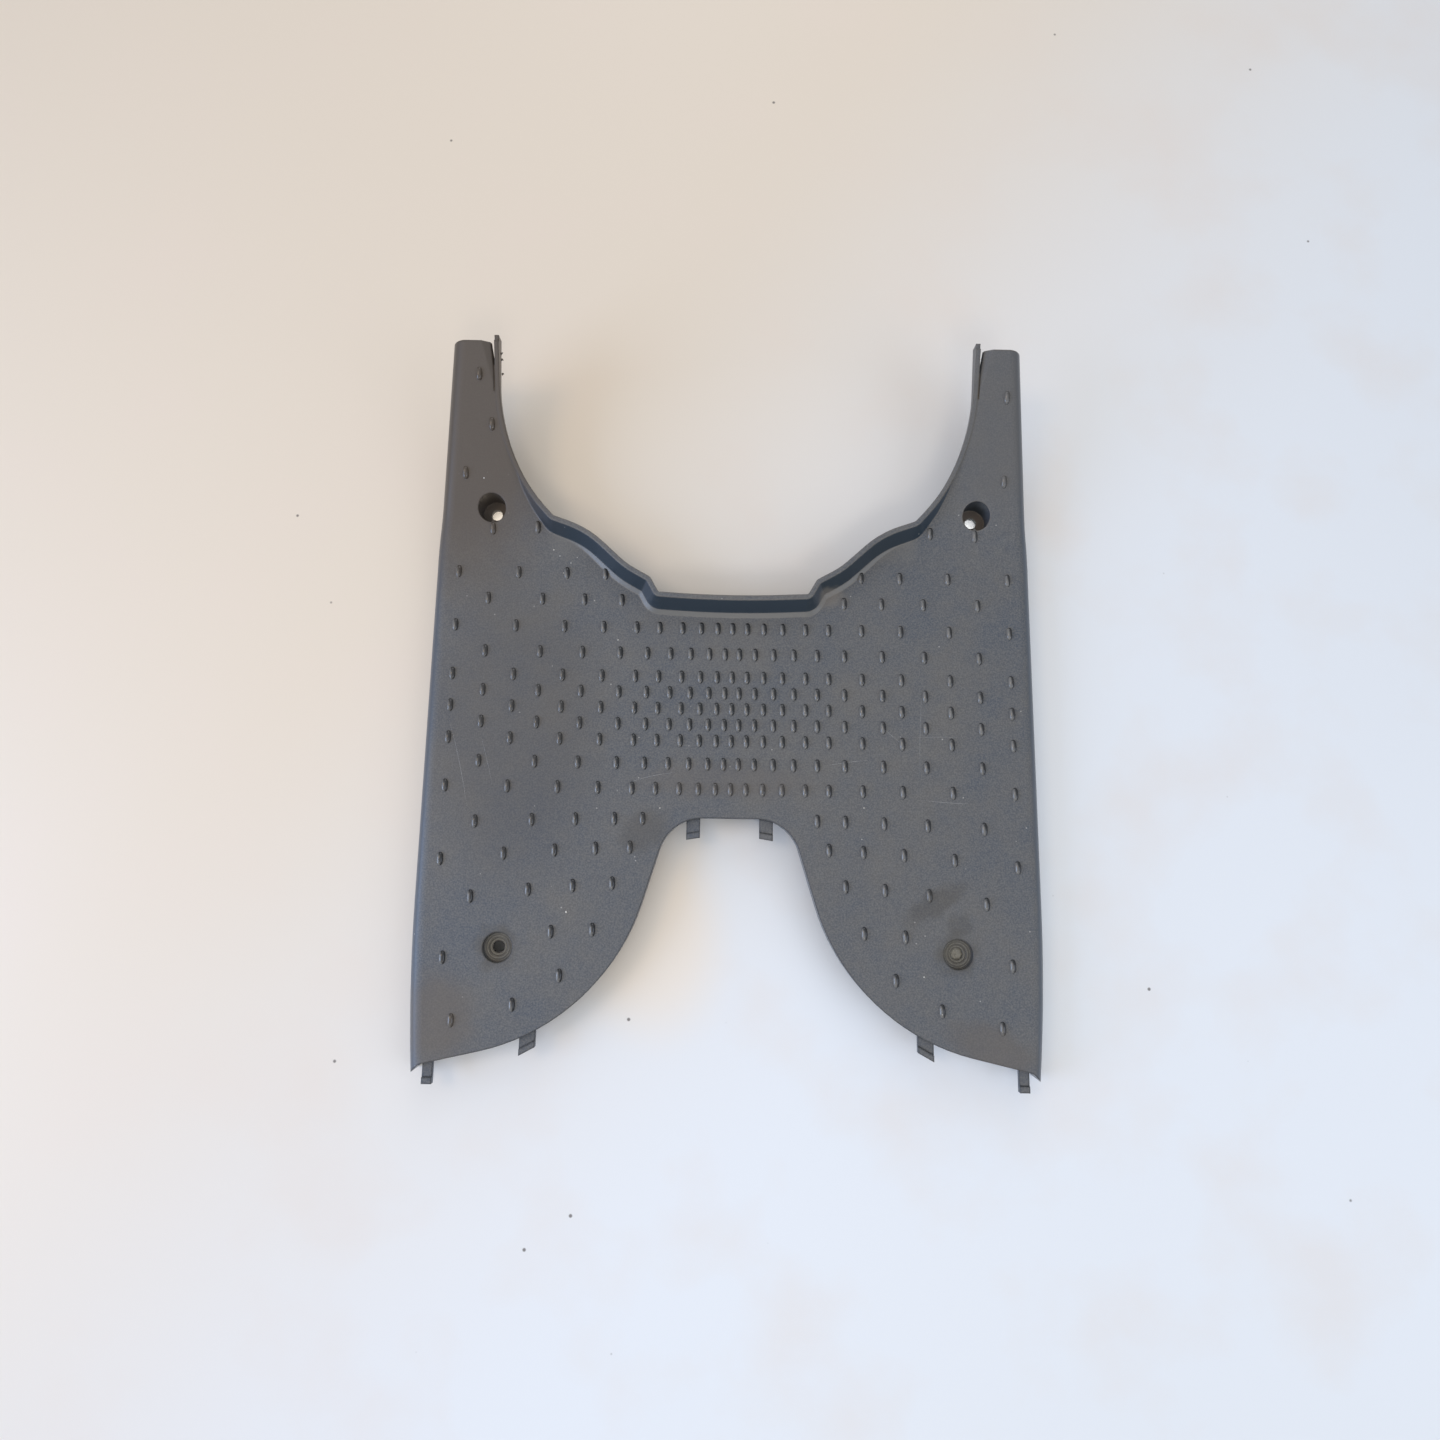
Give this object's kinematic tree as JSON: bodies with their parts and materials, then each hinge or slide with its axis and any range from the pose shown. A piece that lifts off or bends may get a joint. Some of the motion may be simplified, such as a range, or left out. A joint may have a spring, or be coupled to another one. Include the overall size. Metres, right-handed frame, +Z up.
{
  "type": "scooter floorboard",
  "caption": "Plastic scooter floorboard with an anti-slip nubbed tread, raised front arms, a lipped front edge, a rear cut-out, recessed screw seats and clip tongues.",
  "frame": {"origin": "middle of the bounding box's underside: on the plane of symmetry, on the plane that the side skirts stand on", "axes": "+Y to the front of the scooter (the end with the arms), +Z up, +X to the rider's right"},
  "size_m": [0.3672, 0.433, 0.0552],
  "materials": {
    "grey_plastic": "grained moulded polypropylene, worn and dusty"
  },
  "bodies": {
    "root": {"floorboard": "grey_plastic"}
  },
  "joints": []
}
